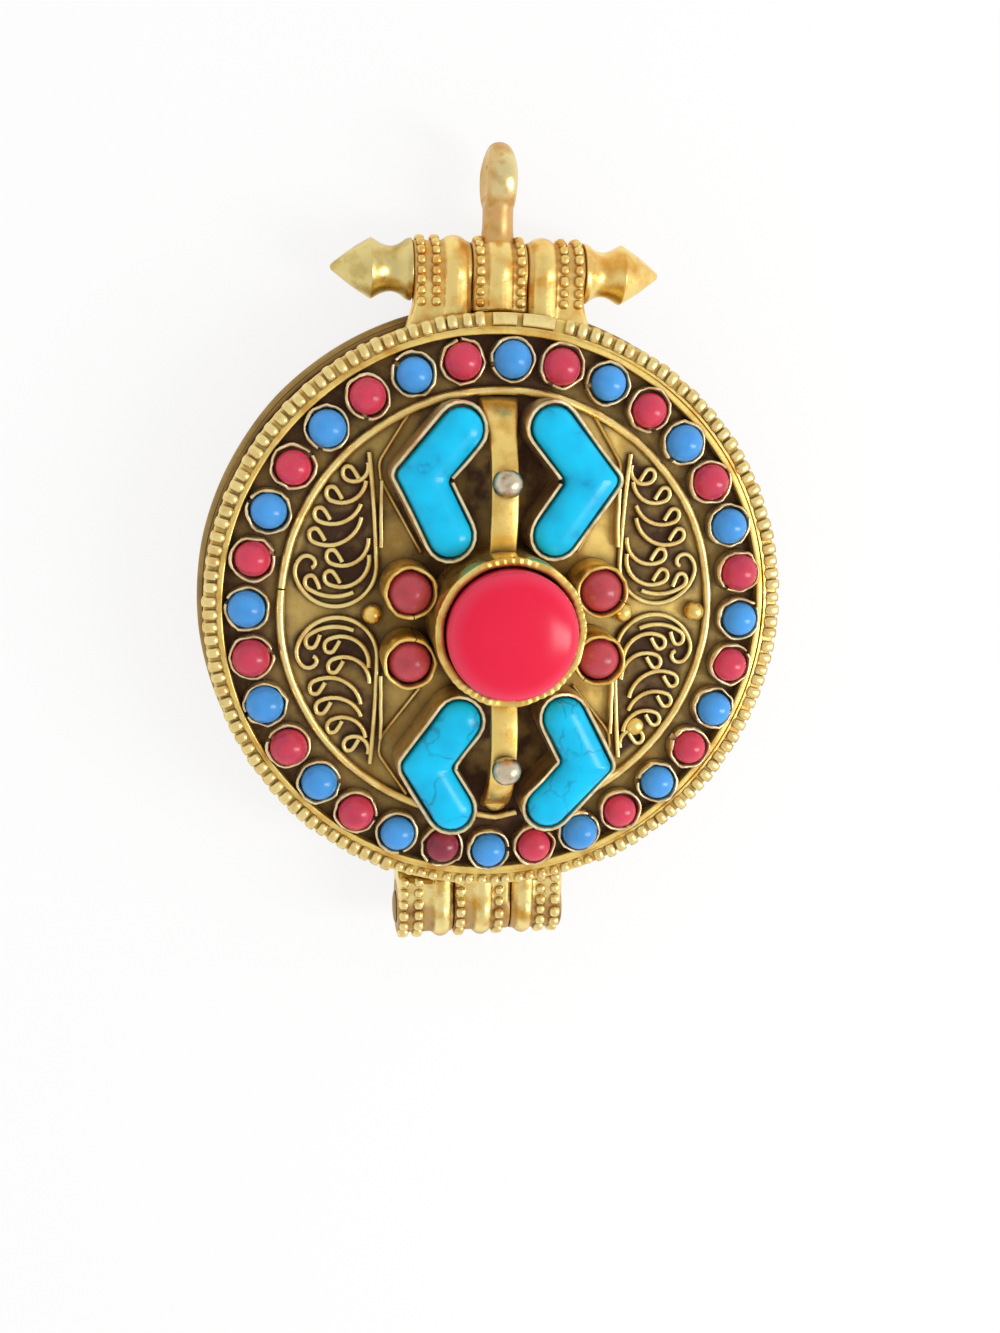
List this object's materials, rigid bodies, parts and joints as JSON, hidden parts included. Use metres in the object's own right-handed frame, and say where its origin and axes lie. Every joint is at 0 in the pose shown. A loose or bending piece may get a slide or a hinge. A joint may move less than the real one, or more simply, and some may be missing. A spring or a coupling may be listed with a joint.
{
  "type": "ghau amulet box",
  "caption": "Round hinged gilt-brass amulet box pendant with a bail, a beaded rim, a ring of small stones, filigree and a crossed figure of turquoise around a coral cabochon.",
  "frame": {"origin": "centre of the back plate's outer face, on which the box lies", "axes": "+X right seen from the front, +Y from the hinge tube to the bail, +Z out of the decorated face"},
  "size_m": [0.0604, 0.0821, 0.0223],
  "materials": {
    "gilt_brass": "worn gilding with dark patina in the recesses",
    "warm_gilt": "satin, warmer and less worn",
    "pale_brass": "polished",
    "turquoise": "polished, faint veins",
    "blue_stone": "polished",
    "red_stone": "polished",
    "coral": "polished",
    "dull_red_stone": "worn, half polished"
  },
  "bodies": {
    "tray": {"back_plate": "gilt_brass", "back_wall": "gilt_brass", "mouth_wire": "gilt_brass", "bail": "warm_gilt", "clasp_knuckle_mid": "warm_gilt", "clasp_bands_mid": "warm_gilt", "clasp_saddle_mid": "warm_gilt", "hinge_knuckle_left": "gilt_brass", "hinge_knuckle_right": "gilt_brass", "hinge_bands_outer": "gilt_brass", "hinge_saddles_outer": "gilt_brass", "hinge_pin": "gilt_brass"},
    "lid": {"bar_balls": "pale_brass", "bent_bezel_lower_left": "gilt_brass", "bent_bezel_lower_right": "gilt_brass", "bent_bezel_upper_left": "gilt_brass", "bent_bezel_upper_right": "gilt_brass", "bent_stone_lower_left": "turquoise", "bent_stone_lower_right": "turquoise", "bent_stone_upper_left": "turquoise", "bent_stone_upper_right": "turquoise", "bracket_wire": "gilt_brass", "centre_bezel": "gilt_brass", "centre_stone": "coral", "channel_strip": "gilt_brass", "clasp_bands_outer": "warm_gilt", "clasp_knuckle_left": "warm_gilt", "clasp_knuckle_right": "warm_gilt", "clasp_saddles_outer": "warm_gilt", "face_plate": "gilt_brass", "filigree_lower_left": "gilt_brass", "filigree_lower_right": "gilt_brass", "filigree_upper_left": "gilt_brass", "filigree_upper_right": "gilt_brass", "granules": "gilt_brass", "hinge_bands_mid": "gilt_brass", "hinge_knuckle_mid": "gilt_brass", "hinge_saddle_mid": "gilt_brass", "inner_ring_wire": "gilt_brass", "lid_wall": "gilt_brass", "lower_bar": "gilt_brass", "partitions": "gilt_brass", "rim_beaded_wire": "gilt_brass", "rim_bezels": "gilt_brass", "rim_stones_blue": "blue_stone", "rim_stones_red": "red_stone", "side_bezels": "gilt_brass", "side_stones": "dull_red_stone", "upper_bar": "gilt_brass"},
    "clasp_pin": {"clasp_pin": "warm_gilt", "finial_fixed": "warm_gilt"},
    "finial_nut": {"finial_nut": "warm_gilt"}
  },
  "joints": [
    {"name": "lid_hinge", "type": "hinge", "parent": "tray", "child": "lid", "pos_m": [-0.0006, -0.0335, 0.00585], "axis": [1, 0, 0], "range_deg": [0, 150]},
    {"name": "clasp_pin_slide", "type": "slide", "parent": "tray", "child": "clasp_pin", "axis": [1, 0, 0], "range_m": [0, 0.022]},
    {"name": "finial_nut_slide", "type": "slide", "parent": "tray", "child": "finial_nut", "axis": [-1, 0, 0], "range_m": [0, 0.006]}
  ]
}
